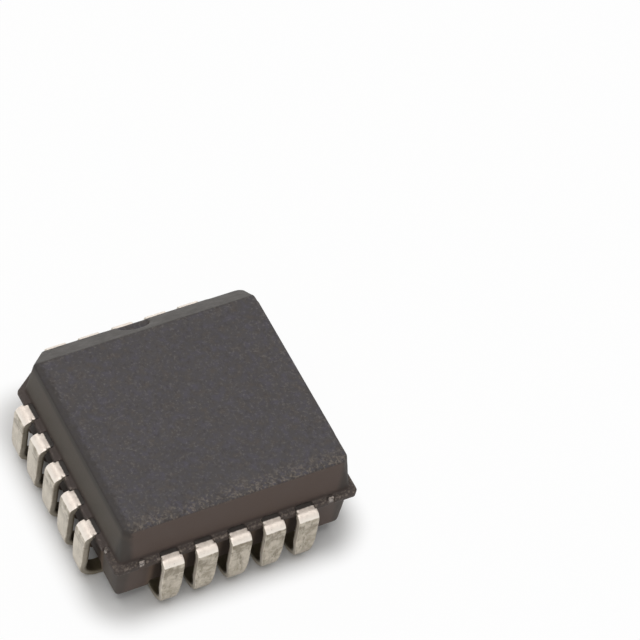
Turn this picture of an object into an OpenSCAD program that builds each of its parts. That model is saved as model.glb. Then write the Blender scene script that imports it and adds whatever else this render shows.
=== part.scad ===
// Plastic leaded chip carrier: a moulded body with five J-leads on each side.
// +Z is up and the board's surface is z = 0. The bevelled side, with the first lead, faces +Y, and the
// index corner lies between -X and +Y. Seen from above, the leads count counter-clockwise.

/* [Moulding] */
// Height from the board to the top face
overall_height = 4.32; // [4.2:0.01:4.5]
// Height of the upper half above the lead frame
upper_height = 1.61; // [1.3:0.01:1.75]
// Height of the lower half below the lead frame
lower_height = 1.9; // [1.7:0.01:1.95]
// Width of both halves where they meet the lead frame
body_width = 8.68; // [8.5:0.02:8.8]
// How far the rim on the parting line stands out beyond the walls
rim_ledge = 0.23; // [0.15:0.01:0.24]
// Slope of the upper walls from the vertical, degrees
upper_draft = 5; // [2:0.5:8]
// Slope of the lower walls from the vertical, degrees
lower_draft = 3; // [2:0.5:8]
// Edge radius around the top face
top_edge_radius = 0.07; // [0.03:0.01:0.12]
// Edge radius around the bottom face
bottom_edge_radius = 0.26; // [0.1:0.01:0.3]

/* [Corners and bevel] */
// Chamfer of the index corner on both halves
index_chamfer = 0.9; // [0.8:0.01:1]
// How much longer the rim's index chamfer is along the first lead's side, where the gate broke off
gate_trim = 0.36; // [0:0.02:0.4]
// Chamfer of the other three corners at the top face
corner_chamfer = 0.24; // [0.15:0.01:0.5]
// Chamfer of those corners at the lead frame
foot_chamfer = 0.08; // [0.06:0.01:0.12]
// Chamfer of those corners at the underside
lower_chamfer = 0.1; // [0.08:0.01:0.3]
// Chamfer of the other three corners on the rim
rim_chamfer = 0.14; // [0.08:0.01:0.3]
// How far the bevel on the first lead's side cuts back the top face
bevel_run = 0.92; // [0.6:0.02:1.1]
// How far the bevel cuts down the wall
bevel_drop = 0.88; // [0.6:0.02:1.1]
// Diameter of the round notch in the bevel
notch_diameter = 1.14; // [0.8:0.02:1.4]
// Distance from the bevel's foot in to the notch's centre
notch_inset = 0.1; // [0:0.01:0.2]

/* [Underside] */
// Width of the groove that takes each lead's tip
groove_width = 0.86; // [0.7:0.02:0.96]
// Clearance from a lead's tip to its groove's roof and inner end
groove_clearance = 0.22; // [0.1:0.02:0.4]
// Diameter of the round ejector mark
mark_diameter = 3.3; // [2.6:0.1:4]
// Width of the ejector mark's groove
mark_groove = 0.13; // [0.05:0.01:0.25]
// Diameter of the recess inside the mark
recess_diameter = 1.85; // [1.2:0.05:2]
// Depth of the mark's groove and of the recess
mark_depth = 0.07; // [0.03:0.01:0.15]
// Length of the raised ticks in the recess
tick_length = 0.22; // [0.1:0.02:0.3]
// Width of the raised ticks in the recess
tick_width = 0.06; // [0.03:0.01:0.1]
// Height of the raised ticks above the recess's floor
tick_height = 0.04; // [0.02:0.01:0.06]

/* [Leads] */
// Thickness of the lead frame and of the rim
frame_thickness = 0.25; // [0.2:0.01:0.28]
// Distance between lead centres
lead_pitch = 1.27; // [1.2:0.01:1.3]
// Width across the outer faces of opposite leads
lead_span = 9.906; // [9.86:0.002:10.1]
// Width of a lead's shoulder and upright
lead_width = 0.77; // [0.7:0.01:0.82]
// Width of a lead where it leaves the rim
root_width = 0.66; // [0.6:0.01:0.72]
// Width of a lead's hook, from its lowest line to its tip
hook_width = 0.5; // [0.36:0.01:0.54]
// Depth of the trim notch in each edge of a lead, from the rim to the bend
trim_notch_depth = 0.05; // [0.02:0.01:0.08]
// Outer radius of the bend from shoulder to upright
bend_radius = 0.32; // [0.28:0.01:0.34]
// Outer radius of the hook
hook_radius = 0.88; // [0.8:0.01:0.96]
// Angle that the hook turns through, degrees
hook_sweep = 172; // [150:1:180]
// Size of the bevel on the outer edge of a lead's tip
tip_bevel = 0.12; // [0.04:0.01:0.18]
// Length of the wide part, from the shoulder's top face down to where the taper starts
wide_length = 1.45; // [1:0.05:1.7]

/* [Inside] */
// Side of the square die pad
pad_side = 3.6; // [3:0.1:3.8]
// Gap between the pad and the lead fingers
finger_gap = 0.25; // [0.15:0.01:0.4]
// Width of a finger's tip
finger_tip_width = 0.36; // [0.24:0.02:0.44]
// Distance between finger tips
finger_tip_pitch = 0.66; // [0.56:0.02:0.7]
// Width of the pad's support straps
strap_width = 0.2; // [0.12:0.02:0.3]
// Distance from a side's middle to a strap's end
strap_offset = 3.56; // [3.4:0.02:3.7]
// How far a strap's cut end lies back from the rim's edge
strap_recess = 0.09; // [0.04:0.01:0.16]
// Side of the square die
die_side = 2.6; // [2:0.1:2.8]
// Thickness of the die
die_thickness = 0.38; // [0.2:0.02:0.5]
// Thickness of the die's adhesive
attach_thickness = 0.03; // [0.02:0.01:0.06]
// Width of adhesive that shows around the die
attach_margin = 0.1; // [0.05:0.01:0.15]
// Thickness of a bond wire
wire_thickness = 0.03; // [0.02:0.005:0.05]
// Height of a wire's loop above the line between its ends
wire_loop = 0.4; // [0.3:0.02:0.5]
// Distance between bond pads on the die
bond_pitch = 0.42; // [0.3:0.02:0.48]
// Distance of the bond pads from the die's edge
bond_inset = 0.14; // [0.08:0.01:0.2]
// Distance of a wire's far end from the finger's tip
stitch_inset = 0.2; // [0.1:0.01:0.3]

/* [Hidden] */
$fn = 64;
sides = 4;
leads_per_side = 5;
lead_count = sides * leads_per_side;
middle_slot = (leads_per_side - 1) / 2;
// First lead of the side that faces -Y: the first lead of all is the middle one of the +Y side
front_first_lead = leads_per_side + middle_slot + 2;
tick_count = 12;
// Quarter turns to the corners that have a support strap: all but the index corner
strapped_corners = [0, 2, 3];
// Segments of a rounded corner and of a bond wire
arc_steps = 4;
wire_steps = 8;
// How far a cutting solid reaches past the surface that it opens
past = 0.5;

frame_top = overall_height - upper_height;
frame_bottom = frame_top - frame_thickness;
frame_middle = (frame_top + frame_bottom) / 2;
body_bottom = frame_bottom - lower_height;
half_body = body_width / 2;
half_rim = half_body + rim_ledge;
// Keeps the rim's ledge the same all along the index corner
rim_index_chamfer = index_chamfer + (2 - sqrt(2)) * rim_ledge;
half_top = half_body - upper_height * tan(upper_draft);
half_bottom = half_body - lower_height * tan(lower_draft);
bevel_height = overall_height - bevel_drop;
bevel_foot = half_body - (bevel_height - frame_top) * tan(upper_draft);
half_span = lead_span / 2;
bend_centre = [half_span - bend_radius, frame_top - bend_radius];
hook_centre = [half_span - hook_radius, hook_radius];
tip_height = hook_radius - (hook_radius - frame_thickness) * sin(hook_sweep);
taper_top = frame_top - wide_length;
neck_start = half_rim;
neck_end = bend_centre[0];
groove_inner = hook_centre[0] - hook_radius - groove_clearance;
groove_top = tip_height + groove_clearance;
// A finger runs straight from its tip to its root, just inside the wall
finger_tip = pad_side / 2 + finger_gap;
finger_root = half_body - rim_ledge;
die_bottom = frame_top + attach_thickness;
die_top = die_bottom + die_thickness;

function two_digits(n) = n < 10 ? str("0", n) : str(n);
function lead_name(n) = str("lead_", two_digits(n));
function wire_name(n) = str("bond_wire_", two_digits(n));

// A lead's place: its step around the package from the front side's first lead, its side and its slot
function lead_step(n) = (n - front_first_lead + lead_count) % lead_count;
function lead_side(n) = floor(lead_step(n) / leads_per_side);
function lead_slot(n) = lead_step(n) % leads_per_side - middle_slot;

function unit(v) = v / norm(v);
function heading(v) = atan2(v[1], v[0]);
function short_turn(a) = a > 180 ? a - 360 : a < -180 ? a + 360 : a;

// Arc of radius r that rounds the corner b between a and c
function corner_arc(a, b, c, r) =
    let (
        to_a = unit(a - b),
        to_c = unit(c - b),
        half = acos(to_a * to_c) / 2,
        reach = r / tan(half),
        centre = b + unit(to_a + to_c) * r / sin(half),
        start = heading(b + to_a * reach - centre),
        turn = short_turn(heading(b + to_c * reach - centre) - start)
    )
    [for (i = [0 : arc_steps]) let (t = start + turn * i / arc_steps) centre + r * [cos(t), sin(t)]];

// Square of half width h with chamfered corners, of which the index corner has its own two sizes
function chamfered_square(h, index, other) = [
    [-h + other, -h], [h - other, -h],
    [h, -h + other], [h, h - other],
    [h - other, h], [-h + index[0], h],
    [-h, h - index[1]], [-h, -h + other]
];

// Distance and height along a wall, from inside the rim over its foot to a flat face with a rounded edge
function wall_profile(foot, edge, r) =
    concat([[foot[0], frame_middle], foot], corner_arc(foot, edge, [0, edge[1]], r));

// The same for the wall on the first lead's side, which ends in the bevel
function bevel_profile() = [
    [half_body, frame_middle], [half_body, frame_top],
    [bevel_foot, bevel_height], [half_top - bevel_run, overall_height]
];

// The same for a corner's facet, which is a plain slope that reaches past both of its ends
function facet_profile(foot_size, face_size, foot_z, half_face, face_z) =
    let (
        foot = [(2 * half_body - foot_size) / sqrt(2), foot_z],
        edge = [(2 * half_face - face_size) / sqrt(2), face_z],
        along = unit(edge - foot) * past
    )
    [foot - along, edge + along];

function reversed(points) = [for (i = [len(points) - 1 : -1 : 0]) points[i]];
function mirrored(points) = [for (p = reversed(points)) [-p[0], p[1]]];

// Extrudes the section between a wall and the opposite one, with the first wall facing the given angle
module between_walls(angle, wall, opposite) {
    rotate(angle) rotate([90, 0, 0]) linear_extrude(4 * half_rim, center = true)
        polygon(concat(wall, mirrored(opposite)));
}

// One half of the moulding, from the rim to its flat face at face_z
module moulded_half(foot_z, face_z, half_face, edge_radius, face_chamfer, bevelled) {
    wall = wall_profile([half_body, foot_z], [half_face, face_z], edge_radius);
    corner = facet_profile(foot_chamfer, face_chamfer, foot_z, half_face, face_z);
    index = facet_profile(index_chamfer, index_chamfer, foot_z, half_face, face_z);
    intersection() {
        between_walls(0, wall, wall);
        between_walls(90, bevelled ? bevel_profile() : wall, wall);
        between_walls(45, corner, corner);
        between_walls(-45, corner, index);
    }
}

module rim_outline() {
    index = [rim_index_chamfer + gate_trim, rim_index_chamfer];
    polygon(chamfered_square(half_rim, index, rim_chamfer));
}

module frame_sheet() {
    translate([0, 0, frame_bottom]) linear_extrude(frame_thickness) children();
}

module bevel_notch() {
    translate([0, bevel_foot - notch_inset, bevel_height])
        cylinder(d = notch_diameter, h = bevel_drop + past);
}

module lead_grooves() {
    for (side = [0 : sides - 1], slot = [-middle_slot : middle_slot])
        rotate(90 * side)
            translate([slot * lead_pitch - groove_width / 2, -half_rim, body_bottom - past])
                cube([groove_width, half_rim - groove_inner, groove_top - body_bottom + past]);
}

module ejector_mark() {
    cut = mark_depth + past;
    translate([0, 0, body_bottom - past]) {
        difference() {
            cylinder(d = mark_diameter, h = cut);
            translate([0, 0, -past]) cylinder(d = mark_diameter - 2 * mark_groove, h = cut + 2 * past);
        }
        difference() {
            cylinder(d = recess_diameter, h = cut);
            for (i = [0 : tick_count - 1])
                rotate(i * 360 / tick_count)
                    translate([recess_diameter / 2 - 1.5 * tick_length, -tick_width / 2, cut - tick_height])
                        cube([tick_length, tick_width, tick_height + past]);
        }
    }
}

module molded_body() {
    color([0.21, 0.2, 0.2]) difference() {
        union() {
            moulded_half(frame_top, overall_height, half_top, top_edge_radius, corner_chamfer, true);
            frame_sheet() rim_outline();
            moulded_half(frame_bottom, body_bottom, half_bottom, bottom_edge_radius, lower_chamfer, false);
        }
        bevel_notch();
        lead_grooves();
        ejector_mark();
        strap_pits();
        die_pad();
        die_attach();
        die();
        for (n = [1 : lead_count]) {
            lead(n);
            bond_wire(n);
        }
    }
}

// Moves a piece drawn for the side that faces -Y to the side of lead n
module at_side(n) {
    rotate(90 * lead_side(n)) children();
}

// Flat part of a lead: the finger inside the body, the root and the neck between the trim notches
module lead_plan(slot) {
    tip_x = slot * finger_tip_pitch;
    root_x = slot * lead_pitch;
    tip = finger_tip_width / 2;
    root = root_width / 2;
    neck = root - trim_notch_depth;
    polygon([
        [tip_x - tip, -finger_tip], [tip_x + tip, -finger_tip],
        [root_x + root, -finger_root], [root_x + root, -neck_start],
        [root_x + neck, -neck_start], [root_x + neck, -neck_end],
        [root_x - neck, -neck_end], [root_x - neck, -neck_start],
        [root_x - root, -neck_start], [root_x - root, -finger_root]
    ]);
}

// Part of a ring of the frame's thickness, between two angles less than 180 degrees apart
module bent_strip(radius, from, to) {
    step = (to - from) / arc_steps;
    intersection() {
        difference() {
            circle(radius);
            circle(radius - frame_thickness);
        }
        polygon([[0, 0], for (i = [0 : arc_steps]) let (a = from + step * i) 2 * radius * [cos(a), sin(a)]]);
    }
}

// Side view of a lead's bent part, with x outwards and y up
module lead_side_view() {
    t = frame_thickness;
    tip = hook_centre + hook_radius * [cos(hook_sweep), -sin(hook_sweep)];
    translate(bend_centre) bent_strip(bend_radius, 0, 90);
    translate([half_span - t, hook_centre[1]]) square([t, bend_centre[1] - hook_centre[1]]);
    difference() {
        translate(hook_centre) bent_strip(hook_radius, -hook_sweep, 0);
        translate(tip) rotate(45 - hook_sweep) square(tip_bevel * sqrt(2), center = true);
    }
}

// Narrows one edge of a lead: a taper down to the hook's lowest line, then straight to the tip
module hook_side_cut() {
    wide = lead_width / 2;
    slim = hook_width / 2;
    lowest = hook_centre[0];
    rotate([90, 0, 0]) translate([0, 0, lowest]) linear_extrude(hook_radius + past)
        polygon([
            [slim, -past], [2 * wide, -past], [2 * wide, taper_top],
            [wide, taper_top], [slim, frame_thickness]
        ]);
    translate([slim, -lowest, -past]) cube([wide, lowest, tip_height + groove_clearance + past]);
}

module lead(n) {
    slot = lead_slot(n);
    color([0.72, 0.7, 0.66]) at_side(n) {
        frame_sheet() lead_plan(slot);
        translate([slot * lead_pitch, 0, 0]) difference() {
            rotate([90, 0, -90]) linear_extrude(lead_width, center = true) lead_side_view();
            hook_side_cut();
            mirror([1, 0, 0]) hook_side_cut();
        }
    }
}

// Diagonal strap from the pad's corner that forks to the two sides of the rim
module corner_strap() {
    w = strap_width;
    start = pad_side / 2 - w;
    near = strap_offset - w / 2;
    far = half_rim - strap_recess - near;
    translate([start, start]) rotate(45)
        translate([0, -w / 2]) square([(strap_offset - start) * sqrt(2), w]);
    translate([near, near]) square([far, w]);
    translate([near, near]) square([w, far]);
}

// Slots in the rim where the straps were cut off
module strap_pits() {
    w = strap_width;
    near = strap_offset - w / 2;
    end = half_rim - strap_recess;
    for (corner = strapped_corners)
        rotate(90 * corner) frame_sheet() {
            translate([end, near]) square([strap_recess + past, w]);
            translate([near, end]) square([w, strap_recess + past]);
        }
}

module die_pad() {
    color([0.72, 0.45, 0.3]) frame_sheet() {
        square(pad_side, center = true);
        for (corner = strapped_corners)
            rotate(90 * corner) corner_strap();
    }
}

module die_attach() {
    side = die_side + 2 * attach_margin;
    color([0.75, 0.75, 0.78])
        translate([-side / 2, -side / 2, frame_top]) cube([side, side, attach_thickness]);
}

module die() {
    color([0.35, 0.37, 0.42])
        translate([-die_side / 2, -die_side / 2, die_bottom]) cube([die_side, die_side, die_thickness]);
}

// Point of a bond wire's loop at angle a, from 0 on the die to 180 on the finger: outwards, then up
function loop_point(run, a) =
    [run, frame_top - die_top] * (1 - cos(a)) / 2 + [0, die_top + wire_loop * sin(a)];

// Outward normal of the loop there
function loop_normal(run, a) =
    unit([-(frame_top - die_top) / 2 * sin(a) - wire_loop * cos(a), run / 2 * sin(a)]);

// One edge of the wire, at a distance from its middle line
function loop_edge(run, offset) =
    [for (i = [0 : wire_steps])
        let (a = 180 * i / wire_steps) loop_point(run, a) + offset * loop_normal(run, a)];

module bond_wire(n) {
    slot = lead_slot(n);
    lean = stitch_inset / (finger_root - finger_tip);
    from = [slot * bond_pitch, bond_inset - die_side / 2];
    to = [slot * (finger_tip_pitch + (lead_pitch - finger_tip_pitch) * lean), -finger_tip - stitch_inset];
    run = norm(to - from);
    half = wire_thickness / 2;
    color([0.95, 0.76, 0.3]) at_side(n)
        translate(from) rotate(heading(to - from))
            rotate([90, 0, 0]) linear_extrude(wire_thickness, center = true)
                polygon(concat(loop_edge(run, half), reversed(loop_edge(run, -half))));
}

molded_body();
die_pad();
die_attach();
die();
for (n = [1 : lead_count]) {
    lead(n);
    bond_wire(n);
}
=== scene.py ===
"""Looks of a moulded chip carrier with J-leads, on a plain pale floor under soft studio light."""
import math

import bmesh
import bpy
import numpy as np
from mathutils import Matrix, Vector


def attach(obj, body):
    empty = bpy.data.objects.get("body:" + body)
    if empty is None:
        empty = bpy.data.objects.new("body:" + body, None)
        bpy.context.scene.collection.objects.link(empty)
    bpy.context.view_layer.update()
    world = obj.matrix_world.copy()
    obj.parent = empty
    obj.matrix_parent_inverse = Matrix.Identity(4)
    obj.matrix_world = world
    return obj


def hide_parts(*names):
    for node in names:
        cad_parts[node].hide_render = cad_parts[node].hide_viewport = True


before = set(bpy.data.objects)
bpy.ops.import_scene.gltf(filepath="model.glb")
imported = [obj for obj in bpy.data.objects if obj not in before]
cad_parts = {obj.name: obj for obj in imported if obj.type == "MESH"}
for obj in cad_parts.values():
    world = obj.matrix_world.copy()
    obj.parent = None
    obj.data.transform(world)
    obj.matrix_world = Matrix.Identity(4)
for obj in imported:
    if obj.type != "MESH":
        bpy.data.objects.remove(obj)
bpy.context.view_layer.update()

# Sizes in millimetres, as in the solids
MM = 0.001
FRAME_TOP = 2.71
FRAME_BOTTOM = 2.46
HALF_BODY = 4.34
LEAD_COUNT = 20
LEAD_PITCH = 1.27
BEVEL_CREST = 3.29
HOOK_CENTRE = (4.073, 0.88)

# Points of a CAD mesh that are this close, in metres, are one point
WELD_DISTANCE = 2e-7

# Cells that surfaces are rebuilt from, in millimetres
BODY_CELL = 0.04
LEAD_CELL = 0.03

# Rounds of smoothing, and the zone at each corner that gets more of them
CORNER_ROUNDS = 6
BACK_ROUNDS = 14
LOWER_ROUNDS = 12
NOTCH_ROUNDS = 6
EDGE_ROUNDS = 2
LEAD_ROUNDS = 4
CORNER_ZONE = 1.5
RIM_MARGIN = 0.05
NOTCH_REACH = 1
NOTCH_FLOOR = 3
SMOOTH_SHARE = 0.5

# How strongly bends count as worn or hollow, and how far that spreads
WEAR_GAIN = 7
WEAR_ROUNDS = 3

# Where the body loses faces: on flats, and in the hidden hollows within these limits
FLAT_BEND = 0.04
HOLLOW_REACH = 3.1
HOLLOW_HEIGHTS = (2.2, 3.9)
BODY_KEPT = 0.35

# Zones of the body in millimetres, each from where it starts to where it is full
CORNER_FACETS = (8.1, 8.3)
LOWER_WALL = (2.4, 2.3)
LEDGE_ABOVE = (2.95, 2.8)
LEDGE_BELOW = (2.3, 2.4)
UNDER_RIM = (2.45, 2.35)
POCKET_DEPTH = (4.1, 4.0)
POCKET_ENDS = (7.5, 7.2)
BEHIND_LEADS = (3.25, 3.05)
BESIDE_LEAD = (0.52, 0.36)
FRONT_BAND = (-3.45, -4.05)
LEFT_BAND = (-3.86, -4.0)
LEFT_HEIGHT = (3.95, 4.15)
CREST_WIDTH = (0.1, 0.02)
CREST_HEIGHT = (4.1, 4.25)
RUBBED_FROM = (-4.05, -3.9)

# Zones of the leads and straps in millimetres, likewise
UNDER_BEND = (1.7, 2.3)
LOW_SHADE = (0.9, 0.1)
HOOK_INSIDE = (0.74, 0.67)
HOOK_BELOW = (2.4, 2.3)
CREASE_HEIGHT = 1.95
CREASE_WIDTH = (0.05, 0.01)
SHOULDER_HEIGHT = (2.0, 2.1)
RESIN_REACH = (4.54, 4.51)
RESIN_HEIGHT = (2.38, 2.42)
STRAP_FILM = (4.28, 4.32)
STRAP_END = (4.44, 4.47)

# The floor turns white to the camera between two distances from a square around the part
FLOOR_HALF = 0.6
FLOOR_GREY = 0.72
FLOOR_CORE = 3.6
FLOOR_FADE = (0.9, 2.2)
FLOOR_WHITE = 0.95

# Light of the world on dull surfaces, and the lamps: place, size in metres, watts and colour
WORLD_LIGHT = 0.32
LAMPS = {
    "key": ((-0.05, 0.0, 0.40), 0.34, 1.1, (1.0, 0.99, 0.97)),
    "fill": ((-0.22, -0.28, 0.27), 0.30, 0.32, (1.0, 0.98, 0.95)),
    "back": ((0.05, 0.40, 0.18), 0.30, 0.35, (1.0, 0.99, 0.97)),
}

# Camera of the photograph: its direction in degrees, its distance and aim in millimetres, its lens
CAMERA_AZIMUTH = -35.48
CAMERA_ELEVATION = 52.36
CAMERA_ROLL = 11.57
CAMERA_DISTANCE = 154.18
CAMERA_AIM = (6.556, 2.481, 2.71)
CAMERA_LENS = 247.5
CAMERA_SENSOR = 36
CAMERA_CLIP = (0.01, 10)


def link(obj):
    bpy.context.scene.collection.objects.link(obj)
    return obj


def showing_rays(tree):
    """A socket that is 1 for rays that show a surface: camera, glossy and transmission rays."""
    path = tree.nodes.new("ShaderNodeLightPath")
    share = path.outputs["Is Camera Ray"]
    for kind in ("Is Glossy Ray", "Is Transmission Ray"):
        either = tree.nodes.new("ShaderNodeMath")
        either.operation = "MAXIMUM"
        tree.links.new(share, either.inputs[0])
        tree.links.new(path.outputs[kind], either.inputs[1])
        share = either.outputs[0]
    return share


class Shade:
    """A node material that is built one node at a time."""

    def __init__(self, name, **settings):
        self.material = bpy.data.materials.new(name)
        self.material.use_nodes = True
        self.tree = self.material.node_tree
        self.surface = self.tree.nodes["Principled BSDF"]
        for socket, value in settings.items():
            self.set(self.surface, socket, value)

    def set(self, node, socket, value):
        socket = node.inputs[socket.replace("_", " ") if isinstance(socket, str) else socket]
        if isinstance(value, bpy.types.NodeSocket):
            self.tree.links.new(value, socket)
        else:
            socket.default_value = value

    def node(self, kind, inputs, **settings):
        made = self.tree.nodes.new("ShaderNode" + kind)
        for name, value in settings.items():
            setattr(made, name, value)
        for socket, value in inputs.items():
            self.set(made, socket, value)
        return made

    def millimetres(self, stretch=(1, 1, 1)):
        place = self.node("TexCoord", {}).outputs["Object"]
        scale = [1 / MM * s for s in stretch]
        return self.node("Mapping", {"Vector": place, "Scale": scale}).outputs[0]

    def parts(self, vector):
        return self.node("SeparateXYZ", {0: vector}).outputs

    def facing(self):
        return self.parts(self.node("NewGeometry", {}).outputs["Normal"])

    def noise(self, place, scale, detail=3.0, roughness=0.6):
        inputs = {"Vector": place, "Scale": scale, "Detail": detail, "Roughness": roughness}
        return self.node("TexNoise", inputs).outputs[0]

    def range(self, value, low, high, to_low=0.0, to_high=1.0, **settings):
        inputs = {"Value": value, 1: low, 2: high, 3: to_low, 4: to_high}
        return self.node("MapRange", inputs, **settings).outputs[0]

    def math(self, operation, a, b=0.0):
        return self.node("Math", {0: a, 1: b}, operation=operation).outputs[0]

    def size(self, value):
        return self.math("ABSOLUTE", value)

    def times(self, first, *others):
        for other in others:
            first = self.math("MULTIPLY", first, other)
        return first

    def plus(self, a, b):
        return self.math("ADD", a, b)

    def minus(self, a, b):
        return self.math("SUBTRACT", a, b)

    def root_sum(self, a, b):
        return self.math("SQRT", self.plus(self.times(a, a), self.times(b, b)))

    def mix(self, share, a, b):
        made = self.node("Mix", {0: share}, data_type="RGBA")
        self.set(made, 6, a)
        self.set(made, 7, b)
        return made.outputs[2]

    def attribute(self, name):
        return self.node("Attribute", {}, attribute_name=name).outputs["Fac"]

    def bump(self, height, distance, strength):
        inputs = {"Height": height, "Distance": distance * MM, "Strength": strength}
        return self.node("Bump", inputs).outputs[0]


def rgb(r, g, b):
    """Linear colour of an sRGB colour given from 0 to 255."""
    shares = (r / 255, g / 255, b / 255)
    return tuple(c / 12.92 if c <= 0.04045 else ((c + 0.055) / 1.055) ** 2.4 for c in shares) + (1,)


def epoxy_material():
    s = Shade("moulded_epoxy", Specular_IOR_Level=0.25)
    mm = s.millimetres()
    fine = s.noise(mm, 11.0, 3.0)
    other = s.noise(s.millimetres((1.1, 0.9, 1.05)), 7.0, 3.0)
    grain = s.noise(mm, 30.0, 2.0)
    cloud = s.noise(mm, 0.7, 4.0)
    hue = s.noise(mm, 3.2, 3.0)
    x, y, z = s.parts(mm)
    facing = s.facing()
    upright = s.range(s.size(facing["Z"]), 0.75, 0.2)
    wear = s.attribute("wear")

    # The top is a mottled grey, with bluish and brownish patches
    base = s.mix(s.range(cloud, 0.35, 0.65), rgb(61, 58, 59), rgb(69, 66, 67))
    base = s.mix(s.range(hue, 0.5, 0.7, 0.0, 0.6), base, rgb(72, 69, 79))
    base = s.mix(s.range(hue, 0.48, 0.3, 0.0, 0.6), base, rgb(74, 67, 62))
    base = s.mix(s.range(fine, 0.54, 0.74, 0.0, 0.5), base, rgb(104, 100, 99))
    base = s.mix(s.range(other, 0.46, 0.3, 0.0, 0.6), base, rgb(52, 48, 49))

    # The walls came out of the mould smoother and browner, darkest on the corner facets. Painted light:
    # the walls facing the front are painted a warmer, lighter brown than the side walls
    wall = s.mix(s.range(cloud, 0.35, 0.65), rgb(73, 68, 62), rgb(81, 75, 69))
    wall = s.mix(s.range(hue, 0.52, 0.66, 0.0, 0.4), wall, rgb(74, 70, 61))
    wall = s.mix(s.range(facing["Y"], -0.5, -0.9, 0.0, 0.6), wall, rgb(90, 73, 67))
    corner = s.plus(s.size(x), s.size(y))
    wall = s.mix(s.range(corner, *CORNER_FACETS, 0.0, 0.75), wall, rgb(56, 53, 50))
    wall = s.mix(s.range(z, *LOWER_WALL, 0.0, 0.3), wall, rgb(92, 82, 76))
    base = s.mix(upright, base, wall)

    # The bevel is smooth and painted pale, which is painted light for the lamp behind it; the rim's
    # ledge is painted a dull dark brown, which is painted shade between the leads
    on_bevel = s.times(s.range(facing["Y"], 0.4, 0.55), s.range(facing["Z"], 0.4, 0.55))
    slope = s.mix(s.range(hue, 0.36, 0.64), rgb(66, 63, 60), rgb(84, 81, 77))
    base = s.mix(s.times(on_bevel, 0.75), base, slope)
    ledge = s.times(s.range(z, *LEDGE_ABOVE), s.range(z, *LEDGE_BELOW))
    base = s.mix(s.times(ledge, 0.85), base, rgb(66, 57, 53))

    # Painted light: the lower walls are painted a lighter brown in the lead pockets and behind the
    # leads, standing in for light that the rim and leads keep from them; right beside each lead they get
    # painted shade
    low = s.times(s.range(z, *UNDER_RIM), upright)
    across = s.math("MAXIMUM", s.size(x), s.size(y))
    along = s.math("MINIMUM", s.size(x), s.size(y))
    inward = s.times(s.range(across, *POCKET_DEPTH), s.range(corner, *POCKET_ENDS))
    behind = s.times(s.range(along, *BEHIND_LEADS), 0.75)
    base = s.mix(s.times(low, s.math("MAXIMUM", inward, behind)), base, rgb(112, 94, 80))
    from_lead = s.math("PINGPONG", along, LEAD_PITCH / 2)
    beside_lead_shade = s.times(low, behind, s.range(from_lead, *BESIDE_LEAD))
    base = s.mix(beside_lead_shade, base, rgb(38, 31, 27))

    # The front of the top is worn to a speckled brown. Its left side is painted dark, as painted shade
    # on the rounded edge turned from the light, and the bevel's crest is dark
    on_top = s.range(facing["Z"], 0.45, 0.8)
    front = s.times(s.range(y, *FRONT_BAND), on_top)
    light_spots = s.times(front, s.range(fine, 0.47, 0.6))
    base = s.mix(s.times(light_spots, 0.45), base, rgb(116, 106, 95))
    dark_spots = s.times(front, s.range(other, 0.5, 0.4))
    base = s.mix(s.times(dark_spots, 0.55), base, rgb(52, 46, 43))
    dark_edge = rgb(46, 42, 40)
    uneven = s.plus(x, s.times(s.minus(other, 0.5), 0.5))
    left = s.times(s.range(uneven, *LEFT_BAND), s.range(z, *LEFT_HEIGHT))
    base = s.mix(s.times(left, 0.7), base, dark_edge)
    from_crest = s.size(s.minus(y, BEVEL_CREST))
    crest = s.times(s.range(from_crest, *CREST_WIDTH), s.range(z, *CREST_HEIGHT))
    base = s.mix(s.times(crest, s.range(other, 0.3, 0.6, 0.75, 0.35)), base, dark_edge)

    # Edges are rubbed pale in spots, flash is left on the rim, and hollows get painted shade
    rubbed = s.times(wear, s.range(fine, 0.5, 0.64), s.range(x, *RUBBED_FROM))
    base = s.mix(s.times(rubbed, 0.5), base, rgb(126, 116, 106))
    flash = s.times(wear, ledge, s.range(other, 0.57, 0.64))
    base = s.mix(s.times(flash, 0.7), base, rgb(140, 129, 120))
    base = s.mix(s.times(s.attribute("cavity"), 0.35), base, rgb(42, 36, 33))
    s.set(s.surface, "Base Color", base)
    s.set(s.surface, "Roughness", s.range(cloud, 0.3, 0.7, 0.56, 0.7))
    s.set(s.surface, "Normal", s.bump(s.plus(fine, s.times(grain, 0.5)), 0.016, 0.35))
    return s.material


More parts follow.
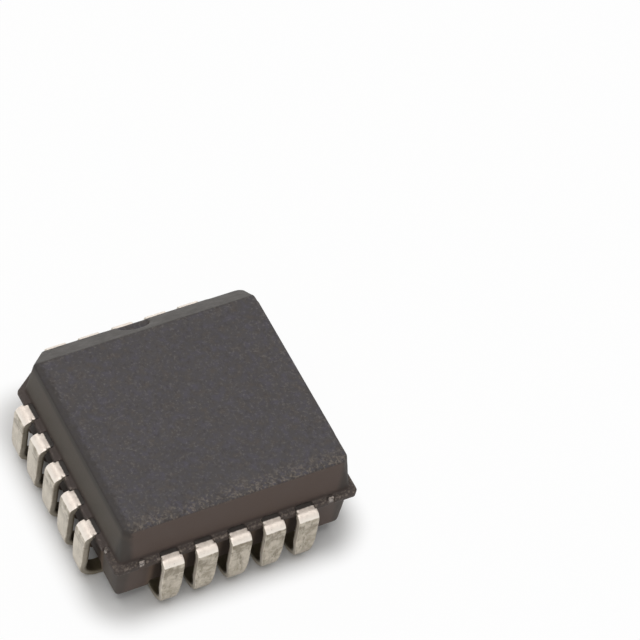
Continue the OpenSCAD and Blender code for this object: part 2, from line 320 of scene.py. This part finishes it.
def lead_material():
    s = Shade("plated_lead")
    mm = s.millimetres()
    mottle = s.noise(mm, 2.4, 4.0)
    fine = s.noise(mm, 8.0, 4.0, 0.65)
    scuff = s.noise(s.millimetres((1, 1, 0.25)), 11.0, 3.0)
    pit = s.noise(mm, 12.0, 2.0)
    x, y, z = s.parts(mm)
    facing = s.facing()

    # Uprights are mottled and scuffed, most of all just under the bend
    base = s.mix(s.range(mottle, 0.38, 0.62), rgb(150, 140, 121), rgb(192, 182, 166))
    base = s.mix(s.range(fine, 0.45, 0.65, 0.0, 0.55), base, rgb(210, 201, 187))
    base = s.mix(s.range(scuff, 0.46, 0.3, 0.0, 0.7), base, rgb(112, 102, 84))
    # Painted light: faces turned to the left are painted paler, for the lamp on that side
    base = s.mix(s.range(facing["X"], -0.5, -0.8, 0.0, 0.5), base, rgb(226, 218, 204))
    under = s.times(s.range(z, *UNDER_BEND), s.range(mottle, 0.56, 0.44))
    base = s.mix(s.times(under, 0.6), base, rgb(124, 114, 96))

    # The cut sides of the front and back leads are painted pale, partly a polished burr and partly
    # painted light from the left, and those of the left and right leads are painted greyer as painted
    # shade. The hooks are painted darker towards the bottom, as painted shade of the shadowed floor they
    # reflect, and sharply bent edges are darker in places
    across = s.math("GREATER_THAN", s.size(y), s.size(x))
    side_x = s.times(across, s.size(facing["X"]))
    side_y = s.times(s.minus(1.0, across), s.size(facing["Y"]))
    base = s.mix(s.range(side_x, 0.6, 0.85, 0.0, 0.85), base, rgb(232, 223, 208))
    base = s.mix(s.range(side_y, 0.6, 0.85, 0.0, 0.75), base, rgb(158, 150, 136))
    base = s.mix(s.range(z, *LOW_SHADE, 0.0, 0.7), base, rgb(118, 107, 84))
    dull = s.times(s.attribute("wear"), s.range(mottle, 0.6, 0.45))
    base = s.mix(s.times(dull, 0.5), base, rgb(104, 94, 76))

    # Painted shade: the inner face of each hook, turned to the body, is painted dark olive
    reach = s.math("MAXIMUM", s.size(x), s.size(y))
    out = s.minus(reach, HOOK_CENTRE[0])
    up = s.minus(s.math("MINIMUM", z, HOOK_CENTRE[1]), HOOK_CENTRE[1])
    inner = s.times(s.range(s.root_sum(out, up), *HOOK_INSIDE), s.range(z, *HOOK_BELOW))
    base = s.mix(s.times(inner, 0.85), base, rgb(84, 74, 55))

    # The forming tool left a dull line across the upright
    line = s.plus(z, s.times(mottle, -0.35))
    from_crease = s.size(s.minus(line, CREASE_HEIGHT))
    crease = s.times(s.range(from_crease, *CREASE_WIDTH), s.range(fine, 0.45, 0.6))
    base = s.mix(s.times(crease, 0.6), base, rgb(104, 92, 74))

    # Painted light: the upward-facing shoulders are painted paler down into the bend, with a painted
    # highlight where the bend turns; all of it is pitted
    shoulder_light = s.mix(s.range(fine, 0.35, 0.65), rgb(210, 198, 188), rgb(226, 216, 206))
    shoulder_light = s.mix(s.range(facing["Z"], 0.9, 0.5), shoulder_light, rgb(244, 236, 226))
    shoulder = s.range(s.plus(facing["Z"], s.times(mottle, 0.3)), 0.5, 0.62)
    base = s.mix(s.times(shoulder, s.range(z, *SHOULDER_HEIGHT)), base, shoulder_light)
    base = s.mix(s.range(pit, 0.32, 0.24, 0.0, 0.7), base, rgb(84, 74, 62))

    # Resin bled a little way out over each root; its dark colour is also painted shade at the foot of
    # the wall
    edge = s.plus(reach, s.times(fine, 0.06))
    resin = s.times(s.range(edge, *RESIN_REACH), s.range(z, *RESIN_HEIGHT))
    base = s.mix(resin, base, rgb(46, 41, 38))
    s.set(s.surface, "Base Color", base)
    s.set(s.surface, "Metallic", s.range(resin, 0.0, 1.0, 0.4, 0.0))
    s.set(s.surface, "Roughness", s.range(fine, 0.3, 0.7, 0.36, 0.52))
    s.set(s.surface, "Normal", s.bump(s.plus(mottle, s.times(fine, 0.35)), 0.03, 0.35))
    return s.material


def strap_material():
    """The frame's pad and straps: bare inside, filmed with resin on the rim, bright at the cut ends."""
    s = Shade("frame_metal")
    mm = s.millimetres()
    fine = s.noise(mm, 10.0)
    x, y, z = s.parts(mm)
    reach = s.math("MAXIMUM", s.size(x), s.size(y))
    edge = s.plus(reach, s.times(fine, 0.06))
    base = s.mix(s.range(fine, 0.35, 0.65), rgb(196, 168, 146), rgb(226, 208, 192))
    base = s.mix(s.range(edge, *STRAP_FILM), base, rgb(66, 59, 55))
    cut = s.mix(s.range(fine, 0.44, 0.6), rgb(84, 75, 70), rgb(178, 168, 160))
    base = s.mix(s.range(edge, *STRAP_END), base, cut)
    s.set(s.surface, "Base Color", base)
    s.set(s.surface, "Metallic", s.range(edge, *STRAP_FILM, 0.9, 0.1))
    s.set(s.surface, "Roughness", s.range(fine, 0.3, 0.7, 0.36, 0.5))
    s.set(s.surface, "Normal", s.bump(fine, 0.006, 0.3))
    return s.material


def metal_material(name, low, high, roughness):
    s = Shade(name, Metallic=1.0)
    fine = s.noise(s.millimetres(), 10.0)
    s.set(s.surface, "Base Color", s.mix(s.range(fine, 0.35, 0.65), low, high))
    s.set(s.surface, "Roughness", s.range(fine, 0.3, 0.7, roughness, roughness + 0.12))
    s.set(s.surface, "Normal", s.bump(fine, 0.005, 0.3))
    return s.material


def film_material(name, low, high, roughness):
    s = Shade(name)
    fine = s.noise(s.millimetres(), 12.0)
    s.set(s.surface, "Base Color", s.mix(s.range(fine, 0.35, 0.65), low, high))
    s.set(s.surface, "Roughness", s.range(fine, 0.3, 0.7, roughness, roughness + 0.1))
    s.set(s.surface, "Normal", s.bump(fine, 0.004, 0.3))
    return s.material


def welded_copy(node, name):
    """A new object with a copy of a node's mesh, its split points joined."""
    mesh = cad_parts[node].data.copy()
    mesh.materials.clear()
    form = bmesh.new()
    form.from_mesh(mesh)
    bmesh.ops.remove_doubles(form, verts=form.verts, dist=WELD_DISTANCE)
    form.to_mesh(mesh)
    form.free()
    mesh.name = name
    return link(bpy.data.objects.new(name, mesh))


def modified_mesh(obj):
    """A new mesh of an object with its modifiers applied."""
    bpy.context.view_layer.update()
    evaluated = obj.evaluated_get(bpy.context.evaluated_depsgraph_get())
    return bpy.data.meshes.new_from_object(evaluated)


def points_of(mesh):
    co = np.empty(len(mesh.vertices) * 3, np.float32)
    mesh.vertices.foreach_get("co", co)
    return co.reshape(-1, 3).astype(float)


class Neighbours:
    """Averages over the points that share an edge with each point of a mesh."""

    def __init__(self, mesh):
        ends = np.empty(len(mesh.edges) * 2, np.int32)
        mesh.edges.foreach_get("vertices", ends)
        ends = ends.reshape(-1, 2)
        self.count = len(mesh.vertices)
        self.start = np.concatenate([ends[:, 0], ends[:, 1]])
        self.end = np.concatenate([ends[:, 1], ends[:, 0]])
        self.degree = np.maximum(np.bincount(self.start, minlength=self.count), 1)

    def mean(self, values):
        columns = values.reshape(self.count, -1)
        sums = [np.bincount(self.start, c[self.end], self.count) for c in columns.T]
        return (np.stack(sums, 1) / self.degree[:, None]).reshape(values.shape)


class Rebuilt:
    """A node's surface in millimetres, rebuilt in small cells so that its edges can be worn round."""

    def __init__(self, node, cell):
        rough = welded_copy(node, "rough_" + node)
        rough.data.transform(Matrix.Scale(1 / MM, 4))
        remesh = rough.modifiers.new("cells", "REMESH")
        remesh.mode = "VOXEL"
        remesh.voxel_size = cell
        self.mesh = modified_mesh(rough)
        bpy.data.objects.remove(rough)
        self.node = node
        self.cell = cell
        self.near = Neighbours(self.mesh)
        self.co = points_of(self.mesh)

    def smooth(self, rounds, chosen=None):
        for i in range(rounds):
            moved = (1 - SMOOTH_SHARE) * self.co + SMOOTH_SHARE * self.near.mean(self.co)
            self.co = moved if chosen is None else np.where(chosen[:, None], moved, self.co)

    def thin(self, made, bent, kept_share):
        """Leaves fewer faces on the flats and in hidden hollows, and all where the outside is bent."""
        reach = np.abs(self.co[:, :2]).max(1)
        height = self.co[:, 2]
        inside = (reach < HOLLOW_REACH) & (height > HOLLOW_HEIGHTS[0]) & (height < HOLLOW_HEIGHTS[1])
        flat = made.vertex_groups.new(name="flat")
        flat.add(np.flatnonzero(inside | (bent < FLAT_BEND)).tolist(), 1.0, "REPLACE")
        fewer = made.modifiers.new("fewer", "DECIMATE")
        fewer.ratio = kept_share
        fewer.vertex_group = flat.name
        thinned = modified_mesh(made)
        made.modifiers.clear()
        made.vertex_groups.clear()
        made.data = thinned

    def piece(self, name, material, kept_share=1.0):
        """The finished piece, which keeps how worn or hollow each point is."""
        mesh = self.mesh
        mesh.vertices.foreach_set("co", (self.co * MM).astype(np.float32).ravel())
        mesh.update()
        normal = np.empty(len(mesh.vertices) * 3, np.float32)
        mesh.vertices.foreach_get("normal", normal)
        bulge = -((self.near.mean(self.co) - self.co) * normal.reshape(-1, 3)).sum(1) / self.cell
        for i in range(WEAR_ROUNDS):
            bulge = self.near.mean(bulge)
        for attribute, values in (("wear", bulge * WEAR_GAIN), ("cavity", -bulge * WEAR_GAIN)):
            made = mesh.attributes.new(attribute, "FLOAT", "POINT")
            made.data.foreach_set("value", np.clip(values, 0, 1).astype(np.float32))
        mesh.polygons.foreach_set("use_smooth", np.ones(len(mesh.polygons), bool))
        mesh.materials.clear()
        mesh.materials.append(material)
        made = link(bpy.data.objects.new(name, mesh))
        if kept_share < 1:
            self.thin(made, np.abs(bulge) * WEAR_GAIN, kept_share)
        made.data.name = name
        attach(made, "root")
        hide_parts(self.node)


def make_body():
    """The moulding, with its upright corners rounder than its other edges."""
    body = Rebuilt("molded_body", BODY_CELL)
    side = np.abs(body.co[:, :2]).sum(1)
    height = body.co[:, 2]
    off_rim = (height > FRAME_TOP + RIM_MARGIN) | (height < FRAME_BOTTOM - RIM_MARGIN)
    corner = off_rim & (side > 2 * HALF_BODY - CORNER_ZONE)
    body.smooth(CORNER_ROUNDS, corner)
    back_right = (body.co[:, 0] > 0) & (body.co[:, 1] > 0)
    body.smooth(BACK_ROUNDS, corner & back_right & (height > FRAME_TOP))
    body.smooth(LOWER_ROUNDS, corner & (height < FRAME_BOTTOM))
    by_notch = (np.abs(body.co[:, 0]) < NOTCH_REACH) & (body.co[:, 1] > BEVEL_CREST)
    body.smooth(NOTCH_ROUNDS, by_notch & (height > NOTCH_FLOOR))
    body.smooth(EDGE_ROUNDS)
    body.piece("epoxy_body", epoxy_material(), BODY_KEPT)


def make_leads():
    """The leads, with their stamped edges rounded."""
    material = lead_material()
    for n in range(1, LEAD_COUNT + 1):
        node = "lead_%02d" % n
        lead = Rebuilt(node, LEAD_CELL)
        lead.smooth(LEAD_ROUNDS)
        lead.piece("plated_" + node, material)


def dress_inside():
    """New materials for the nodes that keep their CAD meshes."""
    looks = {
        "die_pad": strap_material(),
        "die_attach": film_material("silver_adhesive", rgb(150, 150, 154), rgb(186, 186, 190), 0.45),
        "die": film_material("silicon", rgb(70, 72, 82), rgb(92, 94, 108), 0.12),
    }
    gold = metal_material("gold_wire", rgb(222, 176, 84), rgb(240, 200, 112), 0.2)
    for name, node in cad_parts.items():
        look = gold if name.startswith("bond_wire") else looks.get(name)
        if look:
            node.data.materials.clear()
            node.data.materials.append(look)


def make_floor():
    mesh = bpy.data.meshes.new("floor")
    form = bmesh.new()
    bmesh.ops.create_grid(form, x_segments=4, y_segments=4, size=FLOOR_HALF)
    form.to_mesh(mesh)
    form.free()
    floor = link(bpy.data.objects.new("floor", mesh))
    s = Shade("pale_floor", Roughness=0.8, Base_Color=(FLOOR_GREY, FLOOR_GREY, FLOOR_GREY, 1))
    glow = s.node("Emission", {"Color": (1, 1, 1, 1), "Strength": 1.0})
    x, y, z = s.parts(s.millimetres())
    beyond = [s.math("MAXIMUM", s.minus(s.size(c), FLOOR_CORE), 0.0) for c in (x, y)]
    gap = s.root_sum(*beyond)
    white = s.range(gap, *FLOOR_FADE, 0.0, FLOOR_WHITE, interpolation_type="SMOOTHSTEP")
    share = s.times(showing_rays(s.tree), white)
    both = s.node("MixShader", {0: share, 1: s.surface.outputs[0], 2: glow.outputs[0]})
    s.tree.links.new(both.outputs[0], s.tree.nodes["Material Output"].inputs["Surface"])
    floor.data.materials.append(s.material)


def make_light():
    world = bpy.data.worlds.new("studio")
    bpy.context.scene.world = world
    world.use_nodes = True
    tree = world.node_tree
    background = tree.nodes["Background"]
    background.inputs["Color"].default_value = (1, 1, 1, 1)
    level = tree.nodes.new("ShaderNodeMapRange")
    level.inputs[3].default_value = WORLD_LIGHT
    level.inputs[4].default_value = 1.0
    tree.links.new(showing_rays(tree), level.inputs[0])
    tree.links.new(level.outputs[0], background.inputs["Strength"])
    for name, (place, size, power, colour) in LAMPS.items():
        lamp = bpy.data.lights.new(name, "AREA")
        lamp.size = size
        lamp.energy = power
        lamp.color = colour
        holder = link(bpy.data.objects.new(name, lamp))
        holder.location = place
        holder.rotation_euler = (-Vector(place)).to_track_quat("-Z", "Y").to_euler()


def make_camera():
    azimuth, elevation, roll = (math.radians(a) for a in (CAMERA_AZIMUTH, CAMERA_ELEVATION, CAMERA_ROLL))
    along_floor = math.cos(elevation)
    back = Vector((
        math.sin(azimuth) * along_floor,
        -math.cos(azimuth) * along_floor,
        math.sin(elevation),
    ))
    level = Vector((0, 0, 1)).cross(back).normalized()
    right = level * math.cos(roll) + back.cross(level) * math.sin(roll)
    up = back.cross(right)
    data = bpy.data.cameras.new("camera")
    data.lens = CAMERA_LENS
    data.sensor_width = CAMERA_SENSOR
    data.clip_start, data.clip_end = CAMERA_CLIP
    camera = link(bpy.data.objects.new("camera", data))
    place = (Vector(CAMERA_AIM) + back * CAMERA_DISTANCE) * MM
    turn = Matrix((right, up, back)).transposed().to_4x4()
    camera.matrix_world = Matrix.Translation(place) @ turn
    bpy.context.scene.camera = camera


make_body()
make_leads()
dress_inside()
make_floor()
make_light()
make_camera()
bpy.context.scene.view_settings.view_transform = "Standard"
